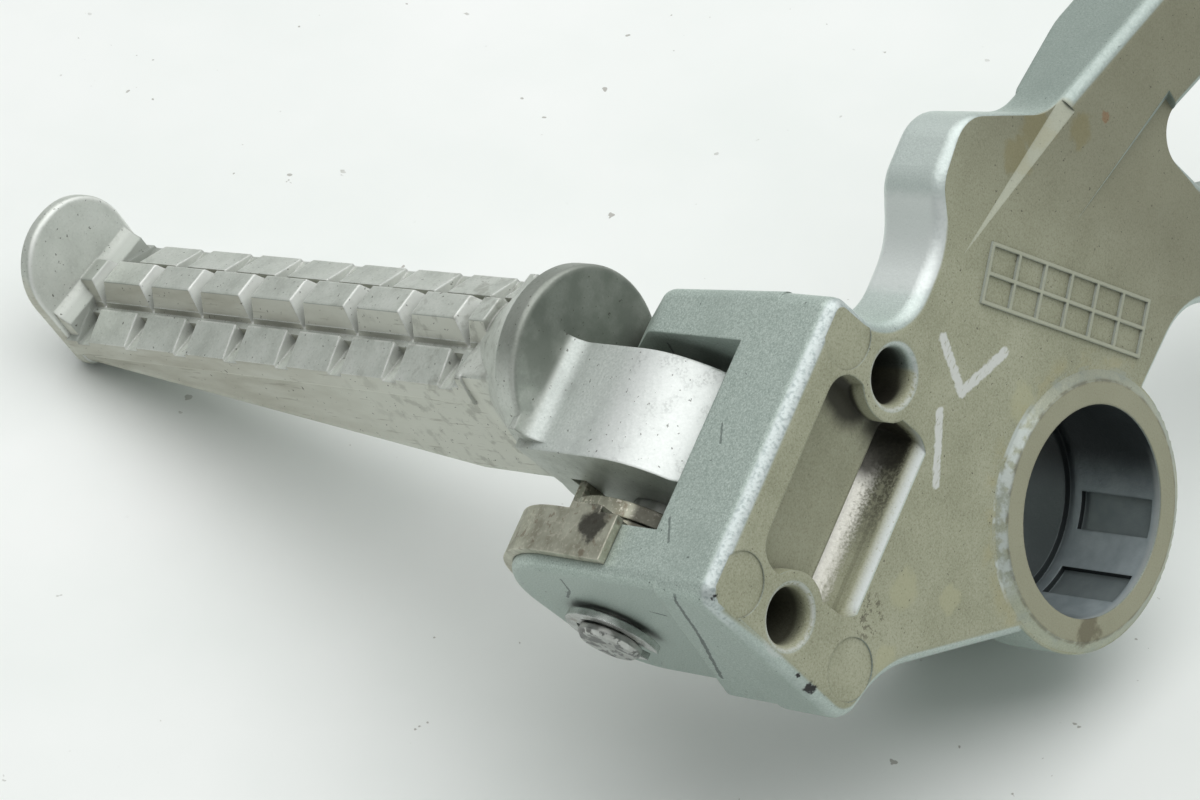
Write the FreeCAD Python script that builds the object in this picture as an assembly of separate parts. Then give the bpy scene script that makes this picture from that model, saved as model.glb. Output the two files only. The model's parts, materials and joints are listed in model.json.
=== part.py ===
"""Left-hand rider's footrest: a folding cast peg in the fork of its cast hanger bracket.

Sizes are millimetres. Everything is first built in a working frame whose x axis lies along the
pivot pin, y points outwards along the peg and z is square to both; the origin is the centre of the
large bore on its raised ring. At the end every piece is turned about y so that the tread of the peg
stands level.
"""
import math
import os

import FreeCAD
import Part

Vector = FreeCAD.Vector

# Lean of the pivot pin: its forward end stands this much higher than its rear end.
PIN_LEAN_DEG = 14.0

# Bracket plate. The ring round the bore is the rearmost face, at y = 0.
BACK_FACE_Y = 0.8
PLATE_THICKNESS = 9.5
PLATE_BACK_ROUND = 1.9
PLATE_FRONT_ROUND = 1.3
RING_RADIUS = 16.0
BOSS_RADIUS = 17.7
COLLAR_BACK_ROUND = 0.3
BORE_RADIUS = 13.2
BORE_STEP_RADIUS = 12.2
BORE_STEP_DEPTH = 14.5
BOSS_LENGTH = 28.0
ARM_GROWTH = 3.8
FLUTE_START_Y = 1.4
FLUTE_END_Y = 12.6
FLUTE_DEPTH = 0.8
FLUTE_WIDTH_DEG = 21.0
FLUTE_CENTRES_DEG = (21.0, 157.0, 201.0, 337.0)

# Fork that carries the peg.
FORK_TOP_Z = 53.9
FORK_FOOT_Z = 24.2
FORK_REAR_X = -39.5
FORK_FOOT_REAR_X = -41.3
FORK_FRONT_X = 0.1
SLOT_REAR_X = -32.0
SLOT_FRONT_X = -7.3
SLOT_WALL_Y = 12.4
REAR_EAR_OUTER_X = -38.8
FRONT_EAR_TIP_X = -1.5
EAR_FOOT_Z = 25.0
REAR_EAR_NOSE = 12.0
EAR_EDGE_ROUND = 1.6

# Pivot pin and its retaining ring.
PIN_Y = 28.0
PIN_Z = 38.8
PIN_RADIUS = 4.0
PIN_CLEARANCE = 0.06
PIN_HEAD_RADIUS = 6.5
PIN_HEAD_LENGTH = 2.6
PIN_GROOVE_RADIUS = 3.0
RING_CLIP_RADIUS = 6.0
RING_CLIP_THICKNESS = 0.9
RING_CLIP_GAP = 0.7

# Mounting eyes at the ends of the two arms.
EYE_RADIUS = 8.0
EYE_HOLE_RADIUS = 4.25
UPPER_EYE_X = 88.0
UPPER_EYE_Z = 5.0
LOWER_EYE_X = 58.0
LOWER_EYE_Z = -28.0
UPPER_ARM_HEADING = (0.93, -0.36)
LOWER_ARM_HEADING = (0.615, -0.789)
UPPER_ARM_ROOT = (36.6, 32.8)
ARM_FORK_TOP = (44.6, 14.8)

# Blind holes and the pocket between them on the back face.
BLIND_HOLE_RADIUS = 3.35
BLIND_HOLE_DEPTH = 9.0
BLIND_HOLE_Z = 40.2
REAR_HOLE_X = -34.7
FRONT_HOLE_X = -3.5
HOLE_MOUTH_ROUND = 1.2
POCKET_SHELF_DEPTH = 2.6
POCKET_TROUGH_DEPTH = 6.5
POCKET_FRONT_X = -7.0
POCKET_REAR_X = -30.8
TROUGH_UPPER_Z = 37.3
TROUGH_LOWER_Z = 31.6

# Peg. The tread is laid out round the centre of the flange, level after the final turn.
TONGUE_REAR_X = -24.0
TONGUE_FRONT_X = -9.3
TONGUE_RADIUS = 14.4
STOP_GAP = 0.05
FLANGE_X = -10.9
FLANGE_Z = 49.6
FLANGE_Y = 39.5
FLANGE_RADIUS = 12.4
FLANGE_THICKNESS = 3.0
FLARE_LENGTH = 9.5
TREAD_START_Y = 54.0
TREAD_PITCH = 10.45
TREAD_BLOCKS = 8
RIDGE_TOP = 9.1
RIDGE_TOP_HALF = 1.9
RIDGE_FOOT = 5.4
RIDGE_FOOT_HALF = 3.4
VALLEY_HALF = 4.4
SHOULDER_TOP = 6.2
SHOULDER_DROP = 1.8
BAR_HALF_WIDTH = 8.75
BAR_TIP_HALF_WIDTH = 8.2
BAR_FOOT = -12.2
BAR_TIP_FOOT = -1.6
TIP_Y = 131.0
TIP_THICKNESS = 1.6
TIP_DOME = 2.0
TIP_RAMP_RADIUS = 4.5
TIP_RAMP_LENGTH = 1.8
TIP_ARCH_RADIUS = 9.4
TIP_ARCH_CENTRE = 9.8
GROOVE_WIDTH = 3.0
SLOT_DEPTH = 2.2
LIP_WIDTH = 0.6
LIP_DEPTH = 4.6

# Return spring: a flat strip coiled round the pin behind the tongue.
STRIP_THICKNESS = 1.2
COIL_OUTER_RADIUS = 10.2
COIL_FRONT_X = -26.9
COIL_STRIP_WIDTH = 2.0
COIL_PITCH = 2.25
TAB_FRONT_X = -31.4
TAB_REAR_X = -37.2
TAB_END_Y = 18.0
SPRING_GAP = 0.06
HOOK_ANGLE_DEG = 24.0


def rounded_wire(corners, to_space):
    """Closed wire through the corners (a, b, radius), each rounded by its own radius.

    Where two neighbouring roundings would overlap on their common edge, both are made smaller.
    """
    count = len(corners)
    points = [Vector(a, b, 0) for a, b, radius in corners]
    halves = []
    reaches = []
    for index in range(count):
        back = points[index - 1] - points[index]
        ahead = points[(index + 1) % count] - points[index]
        halves.append(back.getAngle(ahead) / 2)
        reaches.append(corners[index][2] / math.tan(halves[index]))
    for index in range(count):
        following = (index + 1) % count
        room = 0.98 * (points[following] - points[index]).Length
        wanted = reaches[index] + reaches[following]
        if wanted > room:
            reaches[index] *= room / wanted
            reaches[following] *= room / wanted
    edges = []
    for index in range(count):
        here = points[index]
        back = (points[index - 1] - here).normalize()
        ahead = (points[(index + 1) % count] - here).normalize()
        end = here + ahead * reaches[index]
        if reaches[index] > 1e-6:
            radius = reaches[index] * math.tan(halves[index])
            inwards = (back + ahead).normalize()
            middle = here + inwards * (radius / math.sin(halves[index]) - radius)
            start = here + back * reaches[index]
            edges.append(Part.Arc(to_space(start), to_space(middle), to_space(end)).toShape())
        following = (index + 1) % count
        towards = points[following] + (here - points[following]).normalize() * reaches[following]
        edges.append(Part.makeLine(to_space(end), to_space(towards)))
    return Part.Wire(edges)


def plate_prism(corners, y_start, y_end):
    """Solid with a rounded outline in x and z, between two values of y."""
    wire = rounded_wire(corners, lambda p: Vector(p.x, y_start, p.y))
    return Part.Face(wire).extrude(Vector(0, y_end - y_start, 0))


def side_prism(corners, x_start, x_end):
    """Solid with a rounded outline in y and z, between two values of x."""
    wire = rounded_wire(corners, lambda p: Vector(x_start, p.x, p.y))
    return Part.Face(wire).extrude(Vector(x_end - x_start, 0, 0))


def post(x, z, radius, y_start, y_end):
    """Cylinder along y."""
    return Part.makeCylinder(radius, y_end - y_start, Vector(x, y_start, z), Vector(0, 1, 0))


def rod(y, z, radius, x_start, x_end):
    """Cylinder along x."""
    return Part.makeCylinder(radius, x_end - x_start, Vector(x_start, y, z), Vector(1, 0, 0))


def edges_at_y(shape, y):
    """Edges of a shape that lie wholly at one value of y."""
    found = []
    for edge in shape.Edges:
        box = edge.BoundBox
        if abs(box.YMin - y) < 1e-4 and abs(box.YMax - y) < 1e-4:
            found.append(edge)
    return found


def eye_corners(x, z, towards):
    """The two outer corners of an arm's round end, left one first, seen along the arm."""
    along = Vector(towards[0], towards[1], 0).normalize()
    left = Vector(-along.y, along.x, 0)
    centre = Vector(x, z, 0)
    first = centre + (along + left) * EYE_RADIUS
    second = centre + (along - left) * EYE_RADIUS
    rounding = EYE_RADIUS * 0.98
    return (first.x, first.y, rounding), (second.x, second.y, rounding)


def plate_outline():
    """Outline of the bracket seen square to its back face."""
    upper_left, upper_right = eye_corners(UPPER_EYE_X, UPPER_EYE_Z, UPPER_ARM_HEADING)
    lower_left, lower_right = eye_corners(LOWER_EYE_X, LOWER_EYE_Z, LOWER_ARM_HEADING)
    return [
        (FORK_FRONT_X, FORK_TOP_Z, 2.2),
        (FORK_FRONT_X, 41.2, 7.0),
        (13.0, 41.6, 10.0),
        (19.2, 46.2, 6.0),
        (28.4, 46.4, 6.0),
        UPPER_ARM_ROOT + (8.0,),
        upper_left,
        upper_right,
        ARM_FORK_TOP + (4.0,),
        (ARM_FORK_TOP[0], 1.0, 9.0),
        lower_left,
        lower_right,
        (30.0, -2.4, 9.0),
        (BOSS_RADIUS * 0.8, -1.4, 0),
        (0, -BOSS_RADIUS * 0.5, 0),
        (-BOSS_RADIUS * 0.95, 0.6, 0),
        (-33.0, 22.4, 16.0),
        (FORK_FOOT_REAR_X, FORK_FOOT_Z, 5.0),
        (FORK_REAR_X, FORK_TOP_Z, 2.2),
    ]


def fork_solid():
    """The two ears and the wall behind the slot."""
    wall = plate_prism(
        [
            (FORK_FRONT_X, FORK_TOP_Z, 2.2),
            (FORK_FRONT_X, FORK_FOOT_Z, 2.2),
            (REAR_EAR_OUTER_X, FORK_FOOT_Z, 2.2),
            (REAR_EAR_OUTER_X, FORK_TOP_Z, 2.2),
        ],
        BACK_FACE_Y + 2.0,
        SLOT_WALL_Y,
    )
    root_y = SLOT_WALL_Y - 3.0
    rear_ear = side_prism(
        [
            (root_y, FORK_TOP_Z, 0),
            (PIN_Y + REAR_EAR_NOSE, FORK_TOP_Z, REAR_EAR_NOSE),
            (PIN_Y + REAR_EAR_NOSE, EAR_FOOT_Z, REAR_EAR_NOSE - 2.0),
            (root_y, EAR_FOOT_Z, 0),
        ],
        REAR_EAR_OUTER_X,
        SLOT_REAR_X,
    )
    outer_edges = [edge for edge in rear_ear.Edges if edge.BoundBox.XMax < REAR_EAR_OUTER_X + 0.01]
    outer_edges = [edge for edge in outer_edges if edge.BoundBox.YMax > root_y + 0.01]
    rear_ear = rear_ear.makeFillet(EAR_EDGE_ROUND, outer_edges)
    nose = FLANGE_Y - PIN_Y - 0.3
    bevel_y = PIN_Y - 0.4
    front_ear = side_prism(
        [
            (root_y, FORK_TOP_Z, 0),
            (bevel_y, FORK_TOP_Z, 3.0),
            (PIN_Y + nose, PIN_Z + nose * 0.47, 9.0),
            (PIN_Y + nose, EAR_FOOT_Z, 10.0),
            (root_y, EAR_FOOT_Z, 0),
        ],
        SLOT_FRONT_X,
        FORK_FRONT_X,
    )
    taper = Part.makePolygon(
        [
            Vector(FORK_FRONT_X, SLOT_WALL_Y - 4.0, 0),
            Vector(FORK_FRONT_X + 5.0, SLOT_WALL_Y - 4.0, 0),
            Vector(FORK_FRONT_X + 5.0, PIN_Y + nose + 5.0, 0),
            Vector(FRONT_EAR_TIP_X, PIN_Y + nose, 0),
            Vector(FORK_FRONT_X, SLOT_WALL_Y - 4.0, 0),
        ]
    )
    front_ear = front_ear.cut(Part.Face(taper).extrude(Vector(0, 0, FORK_TOP_Z + 5.0)))
    outer_edges = [edge for edge in front_ear.Edges if edge.BoundBox.XMin > FRONT_EAR_TIP_X - 0.01]
    outer_edges = [edge for edge in outer_edges if edge.BoundBox.YMax > root_y + 0.01]
    front_ear = front_ear.makeFillet(EAR_EDGE_ROUND, outer_edges)
    cheek = side_prism(
        [
            (BACK_FACE_Y + 2.0, FORK_TOP_Z - 1.6, 0),
            (9.4, FORK_TOP_Z - 1.6, 1.0),
            (18.2, EAR_FOOT_Z + 0.4, 2.0),
            (BACK_FACE_Y + 2.0, EAR_FOOT_Z + 0.4, 0),
        ],
        FORK_REAR_X - 4.0,
        REAR_EAR_OUTER_X + 1.0,
    )
    draft = plate_prism(
        [
            (FORK_REAR_X + 0.1, FORK_TOP_Z, 0),
            (FORK_REAR_X + 5.0, FORK_TOP_Z, 0),
            (FORK_REAR_X + 5.0, FORK_FOOT_Z, 0),
            (FORK_FOOT_REAR_X + 0.1, FORK_FOOT_Z, 4.0),
        ],
        0.0,
        PIN_Y,
    )
    cheek = cheek.common(draft)
    return wall.fuse([rear_ear, front_ear, cheek])


def pocket_cutter():
    """Hollow between the blind holes: a shelf on the upper side, a round-bottomed trough below."""
    shelf_y = BACK_FACE_Y + POCKET_SHELF_DEPTH
    trough_y = BACK_FACE_Y + POCKET_TROUGH_DEPTH
    outside_y = BACK_FACE_Y - 1.0
    shelf_outline = [
        (POCKET_FRONT_X + 0.4, BLIND_HOLE_Z + 9.0, 3.4),
        (POCKET_FRONT_X - 0.2, TROUGH_UPPER_Z - 0.3, 2.0),
        (POCKET_REAR_X - 0.4, TROUGH_UPPER_Z - 0.3, 2.0),
        (POCKET_REAR_X - 0.8, BLIND_HOLE_Z + 8.6, 3.4),
    ]
    shelf = plate_prism(shelf_outline, outside_y, shelf_y)
    shelf = shelf.makeFillet(1.2, edges_at_y(shelf, shelf_y))
    trough_profile = [
        (outside_y, TROUGH_LOWER_Z - 2.2, 0),
        (BACK_FACE_Y + 1.2, TROUGH_LOWER_Z, 1.6),
        (trough_y, TROUGH_LOWER_Z, 6.0),
        (trough_y, TROUGH_UPPER_Z, 0.5),
        (outside_y, TROUGH_UPPER_Z, 0),
    ]
    trough = side_prism(trough_profile, POCKET_REAR_X, POCKET_FRONT_X)
    trough_plan = [
        (POCKET_FRONT_X, TROUGH_UPPER_Z + 1.0, 0),
        (POCKET_FRONT_X, TROUGH_LOWER_Z - 2.2, 4.0),
        (POCKET_REAR_X, TROUGH_LOWER_Z - 2.2, 4.0),
        (POCKET_REAR_X, TROUGH_UPPER_Z + 1.0, 0),
    ]
    trough_ends = plate_prism(trough_plan, outside_y - 1.0, trough_y + 1.0)
    trough_ends = trough_ends.makeFillet(3.2, edges_at_y(trough_ends, trough_y + 1.0))
    hollow = shelf.fuse(trough.common(trough_ends))
    bosses = []
    for x in (REAR_HOLE_X, FRONT_HOLE_X):
        bosses.append(post(x, BLIND_HOLE_Z, BLIND_HOLE_RADIUS + 2.0, outside_y - 1.0, trough_y + 1.0))
    return hollow.cut(bosses)


def blind_hole_cutter(x):
    """Cored hole with a rounded mouth."""
    floor_y = BACK_FACE_Y + BLIND_HOLE_DEPTH
    hole = post(x, BLIND_HOLE_Z, BLIND_HOLE_RADIUS, BACK_FACE_Y - 1.0, floor_y)
    lip_y = BACK_FACE_Y + HOLE_MOUTH_ROUND
    lip_radius = BLIND_HOLE_RADIUS + HOLE_MOUTH_ROUND
    lip = Part.makeTorus(lip_radius, HOLE_MOUTH_ROUND, Vector(x, lip_y, BLIND_HOLE_Z), Vector(0, 1, 0))
    mouth = post(x, BLIND_HOLE_Z, lip_radius, BACK_FACE_Y, lip_y).cut(lip)
    return hole.fuse(mouth)


def flute_cutters():
    """Wide shallow flutes along the first part of the bore, in two facing pairs."""
    cutters = []
    for centre in FLUTE_CENTRES_DEG:
        wedge = Part.makeCylinder(
            BORE_RADIUS + FLUTE_DEPTH,
            FLUTE_END_Y - FLUTE_START_Y,
            Vector(0, FLUTE_START_Y, 0),
            Vector(0, 1, 0),
            FLUTE_WIDTH_DEG,
        )
        wedge.rotate(Vector(0, 0, 0), Vector(0, 1, 0), centre - FLUTE_WIDTH_DEG / 2)
        cutters.append(wedge)
    return cutters


def date_grid():
    """Raised lines of a casting date field, two rows of six cells with nothing in them."""
    long_side = 30.6
    short_side = 7.0
    line = 0.45
    rise = 0.35
    bars = []
    for row in range(3):
        offset = short_side * row / 2
        bars.append(Part.makeBox(long_side + line, 1.0 + rise, line, Vector(0, -rise, offset)))
    for column in range(7):
        offset = long_side * column / 6
        bars.append(Part.makeBox(line, 1.0 + rise, short_side + line, Vector(offset, -rise, 0)))
    grid = bars[0].fuse(bars[1:])
    grid.rotate(Vector(0, 0, 0), Vector(0, 1, 0), 73.0)
    grid.translate(Vector(11.0, BACK_FACE_Y, 32.1))
    return grid


def recess_cutters():
    """Two shallow sloping recesses that leave the arm's band standing."""
    lobe = Part.makePolygon(
        [
            Vector(14.0, BACK_FACE_Y, 37.8),
            Vector(39.4, BACK_FACE_Y + 1.3, 31.8),
            Vector(42.0, BACK_FACE_Y + 1.3, 52.6),
            Vector(16.6, BACK_FACE_Y, 58.6),
            Vector(14.0, BACK_FACE_Y, 37.8),
        ]
    )
    web = Part.makePolygon(
        [
            Vector(28.0, BACK_FACE_Y, 22.2),
            Vector(50.0, BACK_FACE_Y + 1.2, 14.6),
            Vector(46.0, BACK_FACE_Y, -0.8),
            Vector(28.0, BACK_FACE_Y, 22.2),
        ]
    )
    lobe_slope = Vector(-2.0, -4.0, -5.8)
    web_slope = Vector(1.5, -4.0, 4.4)
    return [Part.Face(lobe).extrude(lobe_slope), Part.Face(web).extrude(web_slope)]


def arm_back():
    """Extra thickness on the front side of the upper arm, growing towards its eye."""
    front_y = BACK_FACE_Y + PLATE_THICKNESS
    start_x = UPPER_ARM_ROOT[0] + 3.4
    full_x = start_x + 17.0
    low_z = LOWER_EYE_Z
    upper_left, upper_right = eye_corners(UPPER_EYE_X, UPPER_EYE_Z, UPPER_ARM_HEADING)
    strip = plate_prism(
        [UPPER_ARM_ROOT + (2.0,), upper_left, upper_right, ARM_FORK_TOP + (2.0,)],
        BACK_FACE_Y + 3.0,
        front_y + ARM_GROWTH,
    )
    slope = Part.makePolygon(
        [
            Vector(start_x, front_y - 0.5, low_z),
            Vector(full_x, front_y + ARM_GROWTH, low_z),
            Vector(0, front_y + 2 * ARM_GROWTH, low_z),
            Vector(0, front_y - 0.5, low_z),
            Vector(start_x, front_y - 0.5, low_z),
        ]
    )
    strip = strip.makeFillet(PLATE_FRONT_ROUND, edges_at_y(strip, front_y + ARM_GROWTH))
    return strip.cut(Part.Face(slope).extrude(Vector(0, 0, FORK_TOP_Z - low_z)))


def round_both_faces(slab, front_y):
    """Rounds the edges of a slab, more at the back face than at the front."""
    slab = slab.makeFillet(PLATE_FRONT_ROUND, edges_at_y(slab, front_y))
    return slab.makeFillet(PLATE_BACK_ROUND, edges_at_y(slab, BACK_FACE_Y))


def ejector_marks():
    """Shallow round marks left on the back face by the casting die."""
    marks = []
    for x, z in ((FRONT_HOLE_X, 49.6), (REAR_HOLE_X - 0.6, 49.6), (REAR_HOLE_X - 0.6, 27.8)):
        marks.append(post(x, z, 3.8, BACK_FACE_Y - 1.0, BACK_FACE_Y + 0.2))
    return marks


def build_bracket():
    """The hanger casting, one piece."""
    front_y = BACK_FACE_Y + PLATE_THICKNESS
    plate = plate_prism(plate_outline(), BACK_FACE_Y, front_y)
    plate = round_both_faces(plate, front_y)
    collar = post(0, 0, BOSS_RADIUS, BACK_FACE_Y, front_y)
    collar = collar.makeFillet(PLATE_FRONT_ROUND, edges_at_y(collar, front_y))
    collar = collar.makeFillet(COLLAR_BACK_ROUND, edges_at_y(collar, BACK_FACE_Y))
    ring = Part.makeCone(
        BOSS_RADIUS - COLLAR_BACK_ROUND,
        RING_RADIUS,
        BACK_FACE_Y,
        Vector(0, BACK_FACE_Y, 0),
        Vector(0, -1, 0),
    )
    boss = post(0, 0, BOSS_RADIUS - 0.9, BACK_FACE_Y + 1.0, BOSS_LENGTH)
    boss = boss.makeFillet(1.2, edges_at_y(boss, BOSS_LENGTH))
    eyes = [
        post(UPPER_EYE_X, UPPER_EYE_Z, EYE_RADIUS - 0.6, BACK_FACE_Y + 1.0, front_y + ARM_GROWTH + 0.6),
        post(LOWER_EYE_X, LOWER_EYE_Z, EYE_RADIUS - 0.6, BACK_FACE_Y + 1.0, front_y + 1.0),
    ]
    body = plate.fuse([collar, ring, boss, fork_solid(), arm_back()] + eyes)
    cutters = [
        post(0, 0, BORE_RADIUS, -5.0, BORE_STEP_DEPTH),
        post(0, 0, BORE_STEP_RADIUS, -5.0, BOSS_LENGTH + 5.0),
        pocket_cutter(),
        blind_hole_cutter(REAR_HOLE_X),
        blind_hole_cutter(FRONT_HOLE_X),
        post(UPPER_EYE_X, UPPER_EYE_Z, EYE_HOLE_RADIUS, -5.0, BOSS_LENGTH),
        post(LOWER_EYE_X, LOWER_EYE_Z, EYE_HOLE_RADIUS, -5.0, BOSS_LENGTH),
        rod(PIN_Y, PIN_Z, PIN_RADIUS + PIN_CLEARANCE, FORK_FOOT_REAR_X - 5.0, FORK_FRONT_X + 5.0),
    ]
    body = body.cut(cutters + flute_cutters() + recess_cutters() + ejector_marks())
    return body.fuse(date_grid()).removeSplitter()


def tongue_solid():
    """The peg's eye between the ears, with the heel that stops the peg level."""
    top = PIN_Z + TONGUE_RADIUS
    heel_y = SLOT_WALL_Y + STOP_GAP
    crown = rod(PIN_Y, PIN_Z, TONGUE_RADIUS, TONGUE_REAR_X, TONGUE_FRONT_X)
    reach = TONGUE_RADIUS + 1.0
    upper_half = Part.makeBox(
        TONGUE_FRONT_X - TONGUE_REAR_X,
        2 * reach,
        reach,
        Vector(TONGUE_REAR_X, PIN_Y - reach, PIN_Z),
    )
    crown = crown.common(upper_half)
    block = side_prism(
        [
            (PIN_Y, top, 0),
            (FLANGE_Y + 2.0, top, 0),
            (FLANGE_Y + 2.0, 42.0, 0),
            (PIN_Y + 9.6, 36.0, 3.0),
            (PIN_Y + 5.0, 28.6, 6.0),
            (16.6, 27.6, 2.0),
            (heel_y, 30.4, 2.0),
            (heel_y, 35.6, 1.0),
            (PIN_Y - TONGUE_RADIUS + 0.6, PIN_Z + 0.4, 0),
            (PIN_Y, PIN_Z + 3.0, 0),
        ],
        TONGUE_REAR_X,
        TONGUE_FRONT_X,
    )
    relief_width = 2.6
    relief_length = 9.0
    corner = Part.makePolygon(
        [
            Vector(TONGUE_REAR_X - 1.0, heel_y - 2.0, 0),
            Vector(TONGUE_REAR_X + relief_width, heel_y - 2.0, 0),
            Vector(TONGUE_REAR_X - 1.0, heel_y + relief_length, 0),
            Vector(TONGUE_REAR_X - 1.0, heel_y - 2.0, 0),
        ]
    )
    relief = Part.Face(corner).extrude(Vector(0, 0, PIN_Z + 2 * TONGUE_RADIUS))
    return crown.fuse(block).cut(relief)


def tongue_root():
    """Hollow rounding between the top of the tongue and the flange."""
    radius = 3.0
    top = PIN_Z + TONGUE_RADIUS
    block = Part.makeBox(
        TONGUE_FRONT_X - TONGUE_REAR_X - 1.0,
        radius + 1.0,
        radius + 1.0,
        Vector(TONGUE_REAR_X + 1.0, FLANGE_Y - radius, top - 1.0),
    )
    hollow = rod(FLANGE_Y - radius, top + radius, radius, TONGUE_REAR_X - 5.0, TONGUE_FRONT_X + 5.0)
    return block.cut(hollow)


def bar_section(y, half_width, foot):
    """Rounded outline of the bar at one place along its length, round the flange centre."""
    corners = [
        (-half_width + 0.3, SHOULDER_TOP, 0.6),
        (-half_width, SHOULDER_TOP - 2.0, 0.5),
        (-half_width - 0.5, foot, 2.4),
        (half_width + 0.5, foot, 2.4),
        (half_width, SHOULDER_TOP - 2.0, 0.5),
        (half_width - 0.3, SHOULDER_TOP, 0.6),
    ]
    return rounded_wire(corners, lambda p: Vector(FLANGE_X + p.x, y, FLANGE_Z + p.y))


def bar_solid():
    """Wedge-shaped bar under the tread."""
    knee_y = TREAD_START_Y + 5.0
    root = Part.makeLoft(
        [
            bar_section(FLANGE_Y + 1.0, BAR_HALF_WIDTH, BAR_FOOT),
            bar_section(knee_y, BAR_HALF_WIDTH, BAR_FOOT),
        ],
        True,
        True,
    )
    outer = Part.makeLoft(
        [
            bar_section(knee_y, BAR_HALF_WIDTH, BAR_FOOT),
            bar_section(TIP_Y + 0.5, BAR_TIP_HALF_WIDTH, BAR_TIP_FOOT),
        ],
        True,
        True,
    )
    return root.fuse(outer)


def tread_prism(corners, y_start, y_end):
    """Solid with an outline round the flange centre, between two values of y."""
    shifted = [(FLANGE_X + a, FLANGE_Z + b, radius) for a, b, radius in corners]
    return plate_prism(shifted, y_start, y_end)


def tip_solid():
    """Upstanding round end that keeps the boot on the tread."""
    half = BAR_TIP_HALF_WIDTH + 0.6
    foot = BAR_TIP_FOOT - 0.6
    top = TIP_ARCH_CENTRE + TIP_ARCH_RADIUS
    corners = [
        (-half, foot, 3.0),
        (half, foot, 3.0),
        (half + 0.4, top, half * 0.98),
        (-half - 0.4, top, half * 0.98),
    ]
    slab = tread_prism(corners, TIP_Y, TIP_Y + TIP_THICKNESS + TIP_DOME)
    slab = slab.makeChamfer(TIP_DOME * 0.9, edges_at_y(slab, TIP_Y + TIP_THICKNESS + TIP_DOME))
    return slab.makeFillet(0.8, edges_at_y(slab, TIP_Y))


def tip_ramp():
    """Hollow slope from the tread up to the face of the tip."""
    half = BAR_TIP_HALF_WIDTH
    low = SHOULDER_TOP - SLOT_DEPTH - 0.4
    high = SHOULDER_TOP + TIP_RAMP_RADIUS
    block = tread_prism(
        [(-half, low, 0), (half, low, 0), (half, high, 0), (-half, high, 0)],
        TIP_Y - TIP_RAMP_LENGTH,
        TIP_Y + 1.0,
    )
    hollow = rod(
        TIP_Y - TIP_RAMP_RADIUS + 0.3,
        FLANGE_Z + high,
        TIP_RAMP_RADIUS,
        FLANGE_X - 2 * half,
        FLANGE_X + 2 * half,
    )
    return block.cut(hollow)


def groove_cutter(y):
    """One cross groove: a vee through the ridge and square slots through the shoulders."""
    half = GROOVE_WIDTH / 2
    depth_z = FLANGE_Z + RIDGE_FOOT
    top_z = FLANGE_Z + RIDGE_TOP + 0.5
    vee = Part.makePolygon(
        [
            Vector(FLANGE_X - VALLEY_HALF, y - half, top_z),
            Vector(FLANGE_X - VALLEY_HALF, y + half, top_z),
            Vector(FLANGE_X - VALLEY_HALF, y + 0.2, depth_z),
            Vector(FLANGE_X - VALLEY_HALF, y - 0.2, depth_z),
            Vector(FLANGE_X - VALLEY_HALF, y - half, top_z),
        ]
    )
    notch = Part.Face(vee).extrude(Vector(2 * VALLEY_HALF, 0, 0))
    width = BAR_HALF_WIDTH + LIP_WIDTH - VALLEY_HALF + 0.5
    slots = []
    for start in (-VALLEY_HALF - width, VALLEY_HALF):
        corner = Vector(FLANGE_X + start, y - half * 0.85 + 0.7, FLANGE_Z + SHOULDER_TOP - SLOT_DEPTH)
        slots.append(Part.makeBox(width, GROOVE_WIDTH * 0.85, SLOT_DEPTH + 2.0, corner))
    return notch.fuse(slots)


def build_tread():
    """Bar, tread blocks and upstanding tip, level round the flange centre."""
    ridge = tread_prism(
        [
            (-RIDGE_FOOT_HALF, RIDGE_FOOT - 1.5, 0),
            (-RIDGE_FOOT_HALF, RIDGE_FOOT, 0),
            (-RIDGE_TOP_HALF, RIDGE_TOP, 0.3),
            (RIDGE_TOP_HALF, RIDGE_TOP, 0.3),
            (RIDGE_FOOT_HALF, RIDGE_FOOT, 0),
            (RIDGE_FOOT_HALF, RIDGE_FOOT - 1.5, 0),
        ],
        TREAD_START_Y - 4.0,
        TIP_Y + 1.0,
    )
    valleys = []
    for side in (-1, 1):
        start = min(side * VALLEY_HALF, side * (RIDGE_FOOT_HALF - 0.2))
        corner = Vector(FLANGE_X + start, TREAD_START_Y - 2.0, FLANGE_Z + RIDGE_FOOT)
        valleys.append(
            Part.makeBox(VALLEY_HALF - RIDGE_FOOT_HALF + 0.2, TIP_Y - TREAD_START_Y + 2.0, 2.0, corner)
        )
    lips = []
    for side in (-1, 1):
        outer = side * (BAR_HALF_WIDTH + LIP_WIDTH)
        inner = side * (BAR_TIP_HALF_WIDTH - 1.0)
        lips.append(
            tread_prism(
                [
                    (outer, SHOULDER_TOP - LIP_DEPTH, 0.5),
                    (outer - side * 0.5, SHOULDER_TOP, 0.6),
                    (inner, SHOULDER_TOP, 0),
                    (inner, SHOULDER_TOP - LIP_DEPTH, 0),
                ],
                TREAD_START_Y - 3.0,
                TIP_Y + 0.5,
            )
        )
    slopes = []
    for side in (-1, 1):
        outer = side * (BAR_HALF_WIDTH + LIP_WIDTH)
        slopes.append(
            tread_prism(
                [
                    (side * VALLEY_HALF, SHOULDER_TOP, 0),
                    (outer, SHOULDER_TOP - SHOULDER_DROP, 0),
                    (2 * outer, SHOULDER_TOP - SHOULDER_DROP, 0),
                    (2 * outer, SHOULDER_TOP + 1.0, 0),
                    (side * VALLEY_HALF, SHOULDER_TOP + 1.0, 0),
                ],
                TREAD_START_Y - 2.0,
                TIP_Y + 1.0,
            )
        )
    bar = bar_solid().fuse(lips).cut(valleys + slopes).fuse(ridge)
    grooves = [groove_cutter(TREAD_START_Y + TREAD_PITCH * index) for index in range(TREAD_BLOCKS)]
    return bar.cut(grooves).fuse([tip_ramp(), tip_solid()])


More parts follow.
